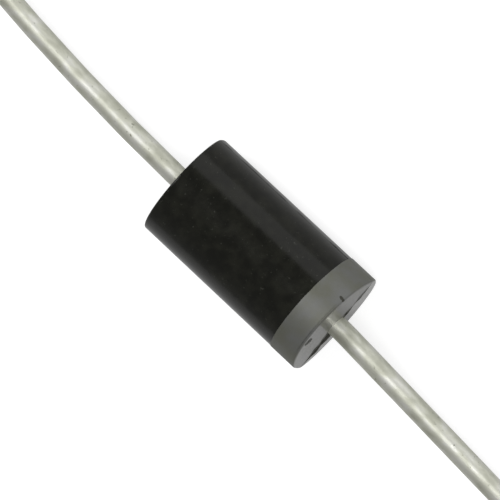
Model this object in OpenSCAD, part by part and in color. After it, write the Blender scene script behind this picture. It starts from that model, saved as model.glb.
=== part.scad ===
// Axial rectifier diode: a silicon chip soldered between two nail-head leads, coated with silicone and
// moulded in epoxy. The leads run along X with the cathode at +X, the mould's parting plane is XY, and
// the origin is the middle of the case on the axis of the leads.

/* [Case] */
// Diameter of the moulded case
case_d = 5.3; // [4.6:0.1:6]
// Length of the case at its parting plane
case_len = 9.45; // [8:0.05:11]
// Slope of each end face away from the parting plane, in degrees
end_draft = 3.2; // [1:0.1:5]
// Rounding where the side meets the ends
rim_r = 0.2; // [0.1:0.01:0.3]

/* [Cathode band] */
// Width of the printed band along the side, up to the end face at the parting plane
band_w = 1.48; // [0.8:0.02:2]
// Thickness of the ink
band_t = 0.02; // [0.01:0.005:0.04]

/* [Leads] */
// Diameter of the wire
lead_d = 1; // [0.7:0.05:1.3]
// Length of each lead outside the case, measured along the wire
lead_len = 25.4; // [20:0.2:30]
// Bend of the cathode lead where it leaves the case, in degrees
cathode_root_angle = 4.1; // [0.5:0.1:8]
// Bend of the anode lead where it leaves the case, in degrees
anode_root_angle = 1.4; // [0.5:0.1:5]
// Each slight kink that handling has left in the anode lead, in degrees
kink_angle = 1.5; // [0.2:0.1:1.6]
// Straight stretch before each of those kinks
kink_pitch = 3; // [1:0.5:6]
// Radius of every bend
bend_r = 12; // [6:1:30]
// How far the bends point below the level, in degrees: the wires then hang a little and steady the case
droop_angle = 20; // [5:1:40]

/* [Nail heads] */
// Diameter of the nail head on the inner end of each lead
head_d = 2.3; // [2.2:0.05:2.8]
// Thickness of the nail head
head_t = 0.55; // [0.4:0.05:0.8]
// Fillet between the wire and the back of the nail head
neck_r = 0.25; // [0.1:0.05:0.5]

/* [Junction] */
// Side of the square chip
chip_side = 2.1; // [1.8:0.05:2.2]
// Thickness of the chip below its mesa
chip_t = 0.2; // [0.15:0.01:0.3]
// Height of the mesa on the anode side of the chip
mesa_h = 0.08; // [0.04:0.01:0.12]
// Width of the moat etched round the mesa
moat_w = 0.15; // [0.1:0.01:0.25]
// Thickness of each layer of solder
solder_t = 0.06; // [0.03:0.01:0.1]
// Diameter of the silicone coating at its fullest
coating_d = 3.4; // [3.1:0.1:3.8]

/* [Hidden] */
$fn = 96;
BEND_FN = 720;                              // facets in a full turn of a bend drawn as a mesh
BEND_THINNING = 0.01;                       // how much thinner the wire is round a bend
BEND_SEAT = 0.05;                           // how far a bend runs inside the straight wire
KINKS = 3;                                  // kinks in the anode lead
draft_slope = tan(end_draft);
end_x = case_len / 2;                       // the end face at the parting plane
rim_depth = rim_r + draft_slope * case_d / 2;
plain_x = end_x - 1.5 * rim_depth;          // the side is a plain cylinder up to here

stack_t = chip_t + mesa_h + 2 * solder_t;   // what lies between the two nail heads
head_x = stack_t / 2;                       // inner face of a nail head
neck_x = head_x + head_t;                   // back of a nail head
cathode_face_x = head_x - solder_t;         // face of the chip on the cathode side
mesa_side = chip_side - 2 * moat_w;

function bend_len(angle) = bend_r * angle * PI / 180;

// Turns an outline round the X axis. The outline's Y runs along the axis and its X is the radius.
module turned() rotate([90, 0, 90]) rotate_extrude() children();

// A disc that faces along X and grows in that direction from where it is put.
module disc(d, thickness) rotate([0, 90, 0]) cylinder(d = d, h = thickness);

// A square plate that faces along X in the same way.
module plate(side, thickness) translate([0, -side / 2, -side / 2]) cube([thickness, side, side]);

// Leans the upper (up = 1) or lower (up = -1) half of an end back from the parting plane.
module drafted(up) multmatrix([[1, 0, -up * draft_slope, 0], [0, 1, 0, 0], [0, 0, 1, 0]]) children();

// Outline of the last stretch of the case, with its rounded rim, under a skin laid over it.
module end_outline(skin) {
    r = case_d / 2 + skin;
    length = 2 * rim_depth;
    edge = rim_r + skin;
    translate([0, end_x + skin - length]) {
        square([r, length - edge]);
        square([r - edge, length]);
        translate([r - edge, length - edge]) circle(r = edge);
    }
}

// The outside of the moulding. The mould opens up and down, so both ends lean back from its parting
// plane, and the rounded rim leans with them while the side stays a cylinder.
module moulding(skin = 0) {
    r = case_d / 2 + skin;
    rotate([0, 90, 0]) cylinder(r = r, h = 2 * plain_x, center = true);
    for (end = [0, 1], up = [-1, 1])
        mirror([end, 0, 0]) drafted(up) intersection() {
            turned() end_outline(skin);
            translate([0, -case_d, up > 0 ? 0 : -case_d]) cube([case_len, 2 * case_d, case_d]);
        }
}

// A straight stretch of wire along X. What follows it is drawn at its far end.
module straight(length) {
    disc(lead_d, length);
    translate([length, 0, 0]) children();
}

// A stretch of wire that bends towards -Y, with what follows it at its far end. Bending stretches the
// wire a little thinner, and the bend runs a short way inside the straight wire on both sides of it.
module bend(angle) translate([0, -bend_r, 0]) {
    into = BEND_SEAT / bend_r * 180 / PI;
    rotate([0, 0, 90 - angle - into]) rotate_extrude(angle = angle + 2 * into, $fn = BEND_FN)
        translate([bend_r, 0]) circle(d = lead_d - BEND_THINNING, $fn = 48);
    rotate([0, 0, -angle]) translate([0, bend_r, 0]) children();
}

// The rest of the wire: a kink after each straight stretch, and then straight to its cut end.
module kinked(count, length) {
    if (count == 0) straight(length);
    else straight(kink_pitch) bend(kink_angle)
        kinked(count - 1, length - kink_pitch - bend_len(kink_angle));
}

// The upset head on the inner end of the wire, with the fillet behind it.
module nail_head() turned() {
    translate([0, head_x]) square([head_d / 2, head_t]);
    difference() {
        translate([0, neck_x]) square([lead_d / 2 + neck_r, neck_r]);
        translate([lead_d / 2 + neck_r, neck_x + neck_r]) circle(r = neck_r);
    }
}

// The head and the straight wire that the moulding holds, out to the surface of the ink.
module anchored_wire() {
    nail_head();
    translate([neck_x, 0, 0]) straight(end_x + band_t - neck_x);
}

// One whole lead, with its bends outside the case.
module lead(root_angle, kinks) {
    anchored_wire();
    translate([end_x + band_t, 0, 0]) rotate([droop_angle, 0, 0]) bend(root_angle)
        kinked(kinks, lead_len - band_t - bend_len(root_angle));
}

// Draws its children for the cathode side and again for the anode side, turned about Z.
module both_sides() for (turn = [0, 180]) rotate([0, 0, turn]) children();

// The full barrel of silicone, from the back of one nail head to the back of the other.
module coating_barrel() {
    half = neck_x;
    rise = (coating_d - head_d) / 2;
    arc_r = (half * half + rise * rise) / (2 * rise);
    turned() intersection() {
        union() {
            translate([coating_d / 2 - arc_r, 0]) circle(r = arc_r);
            translate([0, -half]) square([head_d / 2, 2 * half]);
        }
        translate([0, -half]) square([coating_d / 2, 2 * half]);
    }
}

module case() color([0.13, 0.13, 0.13]) difference() {
    moulding();
    coating_barrel();
    both_sides() anchored_wire();
}

module cathode_band() color([0.62, 0.63, 0.65]) difference() {
    intersection() {
        moulding(band_t);
        translate([end_x - band_w, -case_d, -case_d]) cube([band_w + case_d, 2 * case_d, 2 * case_d]);
    }
    moulding();
    disc(lead_d, case_len);
}

module cathode_lead() color([0.78, 0.78, 0.76]) lead(cathode_root_angle, 0);

module anode_lead() color([0.78, 0.78, 0.76]) rotate([0, 0, 180]) lead(anode_root_angle, KINKS);

// The anode side is a raised mesa inside an etched moat.
module chip() color([0.35, 0.36, 0.4]) translate([cathode_face_x, 0, 0]) {
    translate([-chip_t, 0, 0]) plate(chip_side, chip_t);
    translate([-chip_t - mesa_h, 0, 0]) plate(mesa_side, mesa_h);
}

module cathode_solder() color([0.6, 0.61, 0.62])
    translate([cathode_face_x, 0, 0]) disc(chip_side, solder_t);

module anode_solder() color([0.6, 0.61, 0.62]) translate([-head_x, 0, 0]) disc(mesa_side, solder_t);

module junction_coating() color([0.85, 0.83, 0.78]) difference() {
    coating_barrel();
    both_sides() anchored_wire();
    cathode_solder();
    anode_solder();
    chip();
}

case();
cathode_band();
cathode_lead();
anode_lead();
chip();
cathode_solder();
anode_solder();
junction_coating();
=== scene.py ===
import math

import bmesh
import bpy
from mathutils import Matrix, Vector, noise


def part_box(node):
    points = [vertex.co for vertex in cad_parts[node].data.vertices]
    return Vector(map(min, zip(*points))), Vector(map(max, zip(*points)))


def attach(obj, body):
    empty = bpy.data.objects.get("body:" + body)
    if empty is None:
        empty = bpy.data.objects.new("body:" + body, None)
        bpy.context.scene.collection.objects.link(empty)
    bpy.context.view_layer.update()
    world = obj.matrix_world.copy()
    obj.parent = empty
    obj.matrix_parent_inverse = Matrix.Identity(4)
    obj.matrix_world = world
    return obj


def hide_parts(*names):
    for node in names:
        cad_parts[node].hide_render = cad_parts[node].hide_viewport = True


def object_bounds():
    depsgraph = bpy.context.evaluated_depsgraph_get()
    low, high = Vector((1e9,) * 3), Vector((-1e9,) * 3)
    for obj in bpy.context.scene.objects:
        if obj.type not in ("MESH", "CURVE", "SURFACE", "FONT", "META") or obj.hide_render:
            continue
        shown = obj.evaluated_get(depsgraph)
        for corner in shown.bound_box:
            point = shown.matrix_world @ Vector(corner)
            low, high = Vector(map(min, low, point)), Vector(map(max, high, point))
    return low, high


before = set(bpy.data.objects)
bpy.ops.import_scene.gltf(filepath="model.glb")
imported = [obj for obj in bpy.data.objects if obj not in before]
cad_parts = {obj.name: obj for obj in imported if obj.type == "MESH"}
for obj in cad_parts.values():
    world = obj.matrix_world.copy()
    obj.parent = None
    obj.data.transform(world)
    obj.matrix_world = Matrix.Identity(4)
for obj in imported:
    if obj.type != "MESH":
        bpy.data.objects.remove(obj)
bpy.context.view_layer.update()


# ---------------------------------------------------------------------------------------- Chip
# A square of silicon with its junction on a raised mesa, inside a moat etched round it. It is the
# first thing on the bench: solder, wires, coating and case are put round it.
MM = 0.001
silicon_dark = (0.055, 0.058, 0.070)
silicon_light = (0.150, 0.158, 0.185)


def new_finish(name, colour, roughness, metallic=0.0):
    """A material, its surface shader, and the piece's own coordinates to draw patterns on."""
    material = bpy.data.materials.new(name)
    material.use_nodes = True
    nodes = material.node_tree.nodes
    shader = nodes["Principled BSDF"]
    shader.inputs["Base Color"].default_value = (*colour, 1)
    shader.inputs["Roughness"].default_value = roughness
    shader.inputs["Metallic"].default_value = metallic
    return material, shader, nodes.new("ShaderNodeTexCoord").outputs["Object"]


def grain(material, place, size, detail=3.0, stretch=(1, 1, 1)):
    """Cloudy noise with features of about this size, drawn out along the axes by stretch."""
    nodes, links = material.node_tree.nodes, material.node_tree.links
    mapping = nodes.new("ShaderNodeMapping")
    mapping.inputs["Scale"].default_value = [1 / (size * s) for s in stretch]
    cloud = nodes.new("ShaderNodeTexNoise")
    cloud.inputs["Scale"].default_value = 1.0
    cloud.inputs["Detail"].default_value = detail
    links.new(place, mapping.inputs["Vector"])
    links.new(mapping.outputs["Vector"], cloud.inputs["Vector"])
    return cloud.outputs["Fac"]


def ramp(material, value, stops):
    """Colours or greys that follow a value; each stop is (value, grey or colour)."""
    node = material.node_tree.nodes.new("ShaderNodeValToRGB")
    band = node.color_ramp
    while len(band.elements) < len(stops):
        band.elements.new(1.0)
    for element, (position, tone) in zip(band.elements, stops):
        element.position = position
        element.color = (*tone, 1) if isinstance(tone, tuple) else (tone, tone, tone, 1)
    material.node_tree.links.new(value, node.inputs["Fac"])
    return node.outputs["Color"]


def relief(material, shader, height, depth):
    """Bumps of this depth in metres where height goes from 0 to 1."""
    node = material.node_tree.nodes.new("ShaderNodeBump")
    node.inputs["Strength"].default_value = 1.0
    node.inputs["Distance"].default_value = depth
    material.node_tree.links.new(height, node.inputs["Height"])
    material.node_tree.links.new(node.outputs["Normal"], shader.inputs["Normal"])


def feed(material, output, shader, socket):
    material.node_tree.links.new(output, shader.inputs[socket])


def dress(obj, material):
    """Gives a piece, or a solid that is carried over, one material all over."""
    obj.data.materials.clear()
    obj.data.materials.append(material)


silicon, shader, place = new_finish("silicon_chip", silicon_dark, 0.3, metallic=0.3)
mottle = grain(silicon, place, 0.25 * MM)
tone = ramp(silicon, mottle, [(0.35, silicon_dark), (0.7, silicon_light)])
feed(silicon, tone, shader, "Base Color")
feed(silicon, ramp(silicon, mottle, [(0.3, 0.22), (0.7, 0.4)]), shader, "Roughness")
dress(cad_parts["chip"], silicon)


# -------------------------------------------------------------------------------------- Solder
# Two thin layers of soft solder hold the chip between the nail heads. They are cast in place, so
# their rims are dull and slightly frosted.
solder_grey = (0.42, 0.42, 0.43)
solder_bright = (0.62, 0.62, 0.61)

solder, shader, place = new_finish("soft_solder", solder_grey, 0.45, metallic=1.0)
frost = grain(solder, place, 0.08 * MM)
feed(solder, ramp(solder, frost, [(0.35, solder_grey), (0.7, solder_bright)]), shader, "Base Color")
feed(solder, ramp(solder, frost, [(0.3, 0.35), (0.7, 0.6)]), shader, "Roughness")
relief(solder, shader, frost, 0.006 * MM)
for node in ("cathode_solder", "anode_solder"):
    dress(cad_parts[node], solder)


# --------------------------------------------------------------------------------------- Leads
# Drawn copper wire, hot-dipped in tin, with a nail head upset on the inner end. Each wire bends a
# little where it leaves the case, handling has kinked one of them, and both are cut square, which
# bares the copper.
wire_r = 0.5 * MM
wire_sides = 96
head_r = 1.15 * MM
head_t = 0.55 * MM
neck_r = 0.25 * MM
bend_r = 12 * MM
droop = math.radians(20)
cathode_bend = math.radians(4.1)
anode_bend = math.radians(1.4)
kink_bend = math.radians(1.5)
kink_pitch = 3 * MM
bend_steps = 6
neck_steps = 8
wire_len = 25.4 * MM
cut_edge = 0.06 * MM
tin_dull = (0.49, 0.495, 0.415)
tin_plain = (0.59, 0.595, 0.515)
tin_clean = (0.69, 0.69, 0.64)
tin_pit = (0.27, 0.275, 0.22)
copper_cut = (0.62, 0.36, 0.24)
copper_smeared = (0.60, 0.52, 0.44)

case_low, case_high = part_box("case")
middle = (case_low + case_high) / 2
case_r = (case_high.z - case_low.z) / 2
end_x = (case_high.x - case_low.x) / 2
ink_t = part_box("cathode_band")[1].x - case_high.x
root_x = end_x + ink_t


def new_piece(name, mesh_in_work, material, slot, *nodes):
    """Ends a piece: its mesh, its finish, the body it rides on and the solids it stands for."""
    bmesh.ops.remove_doubles(mesh_in_work, verts=mesh_in_work.verts, dist=0.0005 * MM)
    bmesh.ops.recalc_face_normals(mesh_in_work, faces=mesh_in_work.faces)
    mesh = bpy.data.meshes.new(name)
    mesh_in_work.to_mesh(mesh)
    mesh_in_work.free()
    mesh.shade_smooth()
    mesh.set_sharp_from_angle(angle=math.radians(28))
    piece = bpy.data.objects.new(name, mesh)
    bpy.context.scene.collection.objects.link(piece)
    dress(piece, material)
    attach(piece, "root")
    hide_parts(*nodes)
    return piece


def ring_on(work, ring, move, widen=1.0, about=None):
    """Draws an open ring of edges on by move, and widens it about a point."""
    made = bmesh.ops.extrude_edge_only(work, edges=ring)["geom"]
    points = [part for part in made if isinstance(part, bmesh.types.BMVert)]
    bmesh.ops.translate(work, verts=points, vec=move)
    if widen != 1.0:
        bmesh.ops.scale(work, verts=points, vec=(widen,) * 3, space=Matrix.Translation(-about))
    fresh = set(points)
    return [part for part in made if isinstance(part, bmesh.types.BMEdge)
            and part.verts[0] in fresh and part.verts[1] in fresh]


def draw_lead(name, node, material, turn, head_face, root_angle, kinks):
    """One lead as a ring of the wire's size carried from the nail head to the cut end."""
    work = bmesh.new()
    made = bmesh.ops.create_circle(
        work, cap_ends=True, segments=wire_sides, radius=head_r,
        matrix=Matrix.Translation((head_face, 0, 0)) @ Matrix.Rotation(math.pi / 2, 4, "Y"))
    ring = list({edge for point in made["verts"] for edge in point.link_edges})
    at = Vector((head_face, 0, 0))
    heading = Vector((1, 0, 0))

    def on(length, widen=1.0):
        nonlocal ring, at
        at = at + heading * length
        ring = ring_on(work, ring, heading * length, widen, at)

    on(head_t)
    on(0, (wire_r + neck_r) / head_r)
    radius = wire_r + neck_r
    for step in range(neck_steps):
        before, after = (math.pi / 2 * at_step / neck_steps for at_step in (step, step + 1))
        next_radius = wire_r + neck_r * (1 - math.sin(after))
        on(neck_r * (math.cos(before) - math.cos(after)), next_radius / radius)
        radius = next_radius
    on(root_x - at.x)
    towards = Vector((0, -math.cos(droop), -math.sin(droop)))
    hinge = heading.cross(towards)

    def bend(angle):
        nonlocal ring, at, heading, towards
        centre = at + towards * bend_r
        swing = Matrix.Rotation(angle, 3, hinge)
        made = bmesh.ops.spin(work, geom=ring, cent=centre, axis=hinge, angle=angle,
                              steps=bend_steps)
        ring = [part for part in made["geom_last"] if isinstance(part, bmesh.types.BMEdge)]
        at = centre + swing @ (at - centre)
        heading, towards = swing @ heading, swing @ towards

    bend(root_angle)
    left = wire_len - ink_t - bend_r * root_angle
    for _ in range(kinks):
        on(kink_pitch)
        bend(kink_bend)
        left -= kink_pitch + bend_r * kink_bend
    on(left - cut_edge)
    on(cut_edge, (wire_r - cut_edge) / wire_r)
    bmesh.ops.holes_fill(work, edges=ring, sides=wire_sides)
    bmesh.ops.transform(work, verts=work.verts,
                        matrix=Matrix.Translation(middle) @ Matrix.Rotation(turn, 4, "Z"))
    piece = new_piece(name, work, material, "tinned_copper", node)
    piece.data.materials.append(copper)
    for face in piece.data.polygons:
        if len(face.vertices) == wire_sides and abs(face.center.x - middle.x) > end_x:
            face.material_index = 1
    return piece


tin, shader, place = new_finish("tinned_wire", tin_plain, 0.5, metallic=0.8)
clouds = grain(tin, place, 0.5 * MM, 4.0, stretch=(2.0, 1, 1))
drawn = grain(tin, place, 0.07 * MM, 2.0, stretch=(14, 1, 1))
pits = grain(tin, place, 0.2 * MM, 3.0)
nodes, links = tin.node_tree.nodes, tin.node_tree.links
coat = ramp(tin, clouds, [(0.36, tin_dull), (0.5, tin_plain), (0.66, tin_clean)])
mix = nodes.new("ShaderNodeMix")
mix.data_type = "RGBA"
links.new(ramp(tin, pits, [(0.25, 1.0), (0.33, 0.0)]), mix.inputs["Factor"])
links.new(coat, mix.inputs["A"])
mix.inputs["B"].default_value = (*tin_pit, 1)
links.new(mix.outputs["Result"], shader.inputs["Base Color"])
feed(tin, ramp(tin, clouds, [(0.35, 0.56), (0.65, 0.44)]), shader, "Roughness")
relief(tin, shader, drawn, 0.004 * MM)

copper, shader, place = new_finish("cut_copper", copper_cut, 0.4, metallic=1.0)
shear = grain(copper, place, 0.06 * MM, 2.0, stretch=(1, 1, 8))
feed(copper, ramp(copper, shear, [(0.4, copper_cut), (0.65, copper_smeared)]), shader, "Base Color")
feed(copper, ramp(copper, shear, [(0.3, 0.3), (0.7, 0.5)]), shader, "Roughness")
relief(copper, shader, shear, 0.004 * MM)

head_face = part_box("cathode_lead")[0].x - middle.x
draw_lead("cathode_wire", "cathode_lead", tin, 0.0, head_face, cathode_bend, kinks=0)
draw_lead("anode_wire", "anode_lead", tin, math.pi, head_face, anode_bend, kinks=3)


# ------------------------------------------------------------------------------------- Coating
# A barrel of silicone, dripped on and cured round the chip and the nail heads before moulding. It
# is milky and slightly uneven.
silicone_pale = (0.72, 0.70, 0.64)
silicone_cream = (0.60, 0.57, 0.49)

silicone, shader, place = new_finish("junction_silicone", silicone_pale, 0.38)
milk = grain(silicone, place, 0.7 * MM)
tone = ramp(silicone, milk, [(0.35, silicone_cream), (0.65, silicone_pale)])
feed(silicone, tone, shader, "Base Color")
feed(silicone, ramp(silicone, milk, [(0.3, 0.3), (0.7, 0.45)]), shader, "Roughness")
relief(silicone, shader, milk, 0.01 * MM)
dress(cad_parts["junction_coating"], silicone)


# ---------------------------------------------------------------------------------------- Case
# Black epoxy, transfer-moulded round the coated chip. The mould opens up and down, so both ends
# lean back from its parting plane, their rims are rounded, and a little flash stands on the seam.
case_sides = 192
end_lean = math.tan(math.radians(3.2))
rim_r = 0.08 * MM
rim_steps = 8
rim_land = 0.015 * MM
coating_r = 1.7 * MM
back_x = head_face + head_t
seam_half = 0.035 * MM
end_flash = 0.13 * MM
side_flash = 0.02 * MM
flash_wander = 0.55 * MM
epoxy_black = (0.0030, 0.0032, 0.0014)
epoxy_worn = (0.0084, 0.0086, 0.0052)
epoxy_dust = (0.030, 0.030, 0.025)


def line(work, start, end, steps=1):
    """Draws a straight line from a point of the outline, in steps, and returns its last point."""
    move = (Vector((*end, 0)) - start.co) / steps
    for _ in range(steps):
        made = bmesh.ops.extrude_vert_indiv(work, verts=[start])
        start = made["verts"][0]
        start.co += move
    return start


def arc(work, start, centre, angle, steps):
    """Draws an arc from a point of the outline about a centre and returns its last point."""
    centre = Vector((*centre, 0))
    swing = Matrix.Rotation(angle / steps, 3, "Z")
    for _ in range(steps):
        made = bmesh.ops.extrude_vert_indiv(work, verts=[start])
        start = made["verts"][0]
        bmesh.ops.rotate(work, verts=[start], cent=centre, matrix=swing)
    return start


def turn_outline(work):
    """Turns the outline that is drawn so far into a closed form round the X axis."""
    bmesh.ops.spin(work, geom=work.edges[:] + work.verts[:], cent=(0, 0, 0), axis=(1, 0, 0),
                   angle=math.tau, steps=case_sides, use_merge=True)
    bmesh.ops.remove_doubles(work, verts=work.verts, dist=0.0005 * MM)


def lean_ends(work):
    """Leans both ends back above and below the parting plane; the side is left as it is."""
    for up in (1, -1):
        for end in (1, -1):
            half = [v for v in work.verts if v.co.z * up > 0 and v.co.x * end > end_x - 2 * rim_r]
            lean = Matrix.Identity(4)
            lean[0][2] = -up * end * end_lean
            bmesh.ops.transform(work, matrix=lean, verts=half)


def raise_seam(work):
    """Raises the uneven flash where the parting plane comes through the outside: highest on one
    half of each end, lower on the other, and dying out towards the rim."""
    for height in (-seam_half, seam_half):
        bmesh.ops.bisect_plane(work, geom=work.verts[:] + work.edges[:] + work.faces[:],
                               plane_co=(0, 0, height), plane_no=(0, 0, 1), dist=0.0001 * MM)
    for point in work.verts:
        if abs(point.co.z) < 0.001 * MM:
            x, y = point.co.x, point.co.y
            out = Vector((max(abs(x) - end_x + rim_r, 0), max(abs(y) - case_r + rim_r, 0), 0))
            if out.length > 0:
                out.normalize()
                spread = max(1 - (abs(y) / (case_r - 2 * rim_r)) ** 6, 0)
                spread *= 1.0 if x * y < 0 else 0.5
                size = (out.x > 0.99) * end_flash * spread + (out.y > 0.99) * side_flash
                ragged = noise.noise(Vector((x, y, 0.0)) / flash_wander)
                size *= max(0.55 + 0.9 * ragged, 0.2)
                point.co += Vector((math.copysign(out.x, x), math.copysign(out.y, y), 0)) * size


epoxy, shader, place = new_finish("black_epoxy", epoxy_black, 0.2)
shader.inputs["Specular IOR Level"].default_value = 0.26
bloom = grain(epoxy, place, 0.55 * MM, 4.0)
speck = grain(epoxy, place, 0.15 * MM, 2.0)
nodes, links = epoxy.node_tree.nodes, epoxy.node_tree.links
tone = ramp(epoxy, bloom, [(0.38, epoxy_black), (0.66, epoxy_worn)])
mix = nodes.new("ShaderNodeMix")
mix.data_type = "RGBA"
links.new(ramp(epoxy, speck, [(0.66, 0.0), (0.78, 1.0)]), mix.inputs["Factor"])
links.new(tone, mix.inputs["A"])
mix.inputs["B"].default_value = (*epoxy_dust, 1)
links.new(mix.outputs["Result"], shader.inputs["Base Color"])
feed(epoxy, ramp(epoxy, bloom, [(0.3, 0.15), (0.7, 0.21)]), shader, "Roughness")
relief(epoxy, shader, speck, 0.0015 * MM)

work = bmesh.new()
at = line(work, work.verts.new((0, case_r, 0)), (end_x - rim_r - rim_land, case_r), 30)
at = line(work, at, (end_x - rim_r, case_r))
at = arc(work, at, (end_x - rim_r, case_r - rim_r), -math.pi / 2, rim_steps)
at = line(work, at, (end_x, case_r - rim_r - rim_land))
at = line(work, at, (end_x, wire_r), 12)
at = line(work, at, (back_x + neck_r, wire_r), 4)
at = arc(work, at, (back_x + neck_r, wire_r + neck_r), -math.pi / 2, rim_steps)
at = line(work, at, (back_x, head_r))
rise = coating_r - head_r
barrel_r = (back_x ** 2 + rise ** 2) / (2 * rise)
arc(work, at, (0, coating_r - barrel_r), math.asin(back_x / barrel_r), 8)
turn_outline(work)
bmesh.ops.mirror(work, geom=work.verts[:] + work.edges[:] + work.faces[:], axis="X",
                 merge_dist=0.001 * MM)
lean_ends(work)
raise_seam(work)
bmesh.ops.translate(work, verts=work.verts, vec=middle)
new_piece("moulded_case", work, epoxy, "epoxy", "case")


# ------------------------------------------------------------------------------- Cathode band
# Silver ink, rolled round the cathode end and dabbed over its face. It is as thin as paint, its
# edge wanders a little, and it has come away from the flash and in a few spots on the rim. The
# dark drawn along the flash, and at two spots beside the lead, is partly bare epoxy and partly
# the flash's shadow, which is painted in.
band_w = 1.48 * MM
edge_wander = 0.018 * MM
ink_silver = (0.142, 0.145, 0.138)
ink_warm = (0.128, 0.130, 0.106)
# the dark of bare epoxy, also used as the flash's painted shadow along the seam and beside the lead
bare_epoxy_and_shadow = (0.020, 0.020, 0.012)
flash_gap_and_shadow = 0.012 * MM
flash_gap_and_shadow_more = 0.045 * MM
face_skin = 0.01 * MM
varnish_gloss = 0.09

# the last two spots, on the flash beside the lead, are partly painted shadow of the flash and the
# void there
bare_and_shaded_spots = [  # where the ink is gone, from the middle of the case, and how far round it
    (Vector((end_x - 0.14 * MM, 1.71 * MM, 2.00 * MM)), 0.080 * MM),
    (Vector((end_x - 0.24 * MM, 1.75 * MM, 2.02 * MM)), 0.075 * MM),
    (Vector((end_x - 0.32 * MM, 1.77 * MM, 2.01 * MM)), 0.060 * MM),
    (Vector((end_x - 0.13 * MM, -0.71 * MM, 2.16 * MM)), 0.240 * MM),
    (Vector((end_x, -0.60 * MM, -0.02 * MM)), 0.150 * MM),
    (Vector((end_x, 0.70 * MM, 0.06 * MM)), 0.120 * MM),
]


def reckon(material, operation, first, second):
    """One step of arithmetic on two values, each an output or a plain number."""
    node = material.node_tree.nodes.new("ShaderNodeMath")
    node.operation = operation
    node.use_clamp = operation in ("MAXIMUM", "MINIMUM")
    for socket, value in zip(node.inputs, (first, second)):
        if isinstance(value, float):
            socket.default_value = value
        else:
            material.node_tree.links.new(value, socket)
    return node.outputs[0]


def distance_to(material, place, point):
    node = material.node_tree.nodes.new("ShaderNodeVectorMath")
    node.operation = "DISTANCE"
    material.node_tree.links.new(place, node.inputs[0])
    node.inputs[1].default_value = point
    return node.outputs["Value"]


ink, shader, place = new_finish("silver_ink", ink_silver, 0.5, metallic=0.5)
flake = grain(ink, place, 0.05 * MM, 2.0)
wash = grain(ink, place, 0.8 * MM, 3.0)
ragged = grain(ink, place, 0.22 * MM, 3.0)
nodes, links = ink.node_tree.nodes, ink.node_tree.links
parts = nodes.new("ShaderNodeSeparateXYZ")
links.new(place, parts.inputs[0])
along = reckon(ink, "SUBTRACT", parts.outputs["X"], middle.x)
across = reckon(ink, "SUBTRACT", parts.outputs["Y"], middle.y)
above = reckon(ink, "ABSOLUTE", reckon(ink, "SUBTRACT", parts.outputs["Z"], middle.z), 0.0)
lean = reckon(ink, "MULTIPLY", above, end_lean)
on_face = reckon(ink, "GREATER_THAN", reckon(ink, "ADD", along, lean), end_x - face_skin)

# bare epoxy along the flash, with the flash's shadow painted in as the same dark, more of it on
# one side of the lead than on the other
one_side = reckon(ink, "LESS_THAN", across, 0.0)
gap_and_shadow_reach = reckon(ink, "MULTIPLY", one_side, flash_gap_and_shadow_more)
gap_and_shadow_reach = reckon(ink, "ADD", gap_and_shadow_reach, flash_gap_and_shadow)
gap_and_shadow_reach = reckon(ink, "MULTIPLY", gap_and_shadow_reach, reckon(ink, "MULTIPLY", ragged, 2.0))
bare_and_shadow = reckon(ink, "MULTIPLY", reckon(ink, "LESS_THAN", above, gap_and_shadow_reach), on_face)
for point, size in bare_and_shaded_spots:
    edge = reckon(ink, "MULTIPLY", reckon(ink, "ADD", ragged, 0.5), size)
    spot = reckon(ink, "LESS_THAN", distance_to(ink, place, middle + point), edge)
    bare_and_shadow = reckon(ink, "MAXIMUM", bare_and_shadow, spot)

tone = ramp(ink, wash, [(0.35, ink_warm), (0.65, ink_silver)])
mix = nodes.new("ShaderNodeMix")
mix.data_type = "RGBA"
links.new(bare_and_shadow, mix.inputs["Factor"])
links.new(tone, mix.inputs["A"])
mix.inputs["B"].default_value = (*bare_epoxy_and_shadow, 1)
links.new(mix.outputs["Result"], shader.inputs["Base Color"])
ink_shown = reckon(ink, "SUBTRACT", 1.0, bare_and_shadow)
feed(ink, reckon(ink, "MULTIPLY", ink_shown, 0.5), shader, "Metallic")
feed(ink, reckon(ink, "MULTIPLY", ink_shown, on_face), shader, "Coat Weight")
shader.inputs["Coat Roughness"].default_value = varnish_gloss
relief(ink, shader, flake, 0.002 * MM)

work = bmesh.new()
edge_x = end_x - band_w
at = work.verts.new((edge_x, case_r, 0))
at = line(work, at, (edge_x, case_r + ink_t))
at = line(work, at, (end_x - rim_r - rim_land, case_r + ink_t), 12)
at = line(work, at, (end_x - rim_r, case_r + ink_t))
at = arc(work, at, (end_x - rim_r, case_r - rim_r), -math.pi / 2, rim_steps)
at = line(work, at, (end_x + ink_t, case_r - rim_r - rim_land))
at = line(work, at, (end_x + ink_t, wire_r), 12)
at = line(work, at, (end_x, wire_r))
at = line(work, at, (end_x, case_r - rim_r), 12)
at = arc(work, at, (end_x - rim_r, case_r - rim_r), math.pi / 2, rim_steps)
line(work, at, (edge_x, case_r), 12)
turn_outline(work)
lean_ends(work)
raise_seam(work)
for point in work.verts:
    if abs(point.co.x - edge_x) < 0.01 * MM:
        along_edge = Vector((point.co.y, point.co.z, 7 * MM)) / (0.5 * MM)
        point.co.x += edge_wander * noise.noise(along_edge)
bmesh.ops.translate(work, verts=work.verts, vec=middle)
new_piece("silver_band", work, ink, "band_ink", "cathode_band")


# --------------------------------------------------------------------------- Table and lights
# A white table under the part, one long soft lamp low on the far side, two small ones above, and
# the camera looking down on the cathode end.
floor_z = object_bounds()[0].z
table_size = 4.0
table_white = 0.5
table_glow = 0.7
glow_in_gloss = 0.2
room_grey = 0.36
long_lamp_size = (0.9, 0.25)
long_lamp_away = 0.35
long_lamp_power = 0.62
small_lamp_size = (0.15, 0.15)
small_lamp_power = 0.55

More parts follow.
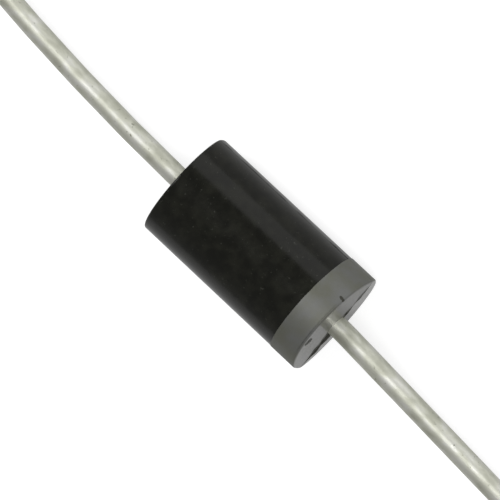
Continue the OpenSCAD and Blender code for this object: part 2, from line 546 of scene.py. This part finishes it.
table = bpy.data.materials.new("white_table")
table.use_nodes = True
nodes, links = table.node_tree.nodes, table.node_tree.links
shader = nodes["Principled BSDF"]
shader.inputs["Base Color"].default_value = (table_white,) * 3 + (1,)
shader.inputs["Roughness"].default_value = 0.9
shader.inputs["Specular IOR Level"].default_value = 0.0
white = nodes.new("ShaderNodeEmission")
path = nodes.new("ShaderNodeLightPath")
seen = nodes.new("ShaderNodeMath")
seen.operation = "MAXIMUM"
links.new(path.outputs["Is Camera Ray"], seen.inputs[0])
dimmer = nodes.new("ShaderNodeMath")
dimmer.operation = "MULTIPLY"
dimmer.inputs[1].default_value = glow_in_gloss
links.new(path.outputs["Is Glossy Ray"], dimmer.inputs[0])
links.new(dimmer.outputs[0], seen.inputs[1])
seen_too = nodes.new("ShaderNodeMath")
seen_too.operation = "MAXIMUM"
links.new(seen.outputs[0], seen_too.inputs[0])
links.new(path.outputs["Is Transmission Ray"], seen_too.inputs[1])
glow = nodes.new("ShaderNodeMath")
glow.operation = "MULTIPLY"
glow.inputs[1].default_value = table_glow
links.new(seen_too.outputs[0], glow.inputs[0])
links.new(glow.outputs[0], white.inputs["Strength"])
both = nodes.new("ShaderNodeAddShader")
links.new(shader.outputs[0], both.inputs[0])
links.new(white.outputs[0], both.inputs[1])
links.new(both.outputs[0], nodes["Material Output"].inputs["Surface"])

work = bmesh.new()
bmesh.ops.create_grid(work, x_segments=1, y_segments=1, size=table_size / 2,
                      matrix=Matrix.Translation((0, 0, floor_z)))
mesh = bpy.data.meshes.new("table")
work.to_mesh(mesh)
work.free()
floor = bpy.data.objects.new("table", mesh)
bpy.context.scene.collection.objects.link(floor)
floor.data.materials.append(table)

world = bpy.data.worlds.new("room")
bpy.context.scene.world = world
world.use_nodes = True
world.node_tree.nodes["Background"].inputs["Color"].default_value = (room_grey,) * 3 + (1,)
world.node_tree.nodes["Background"].inputs["Strength"].default_value = 1.0


def soft_lamp(name, place, aim, size, power):
    lamp = bpy.data.lights.new(name, "AREA")
    lamp.shape = "RECTANGLE"
    lamp.size, lamp.size_y = size
    lamp.energy = power
    stand = bpy.data.objects.new(name, lamp)
    bpy.context.scene.collection.objects.link(stand)
    stand.location = place
    stand.rotation_euler = (Vector(aim) - Vector(place)).to_track_quat("-Z", "Y").to_euler()


lamp_z = floor_z + long_lamp_size[1] / 2
soft_lamp("long_lamp", (0, long_lamp_away, lamp_z), (0, 0, lamp_z), long_lamp_size, long_lamp_power)
soft_lamp("near_lamp", (0.109, 0.080, 0.397), middle, small_lamp_size, small_lamp_power)
soft_lamp("far_lamp", (-0.241, 0.068, 0.337), middle, small_lamp_size, small_lamp_power)

camera_place = Vector((31.8006, 55.4627, 166.5631)) * MM
camera_right = Vector((0.71811335, 0.606314, -0.34160877))
camera_up = Vector((-0.672079, 0.73160407, -0.1143036))
camera_back = camera_right.cross(camera_up)

camera = bpy.data.cameras.new("camera")
camera.sensor_width = 36
camera.lens = 287.394
camera.clip_start = 0.01
camera.clip_end = 10
eye = bpy.data.objects.new("camera", camera)
bpy.context.scene.collection.objects.link(eye)
axes = Matrix((camera_right, camera_up, camera_back)).transposed().to_4x4()
eye.matrix_world = Matrix.Translation(middle + camera_place) @ axes
bpy.context.scene.camera = eye

bpy.context.scene.view_settings.view_transform = "Standard"
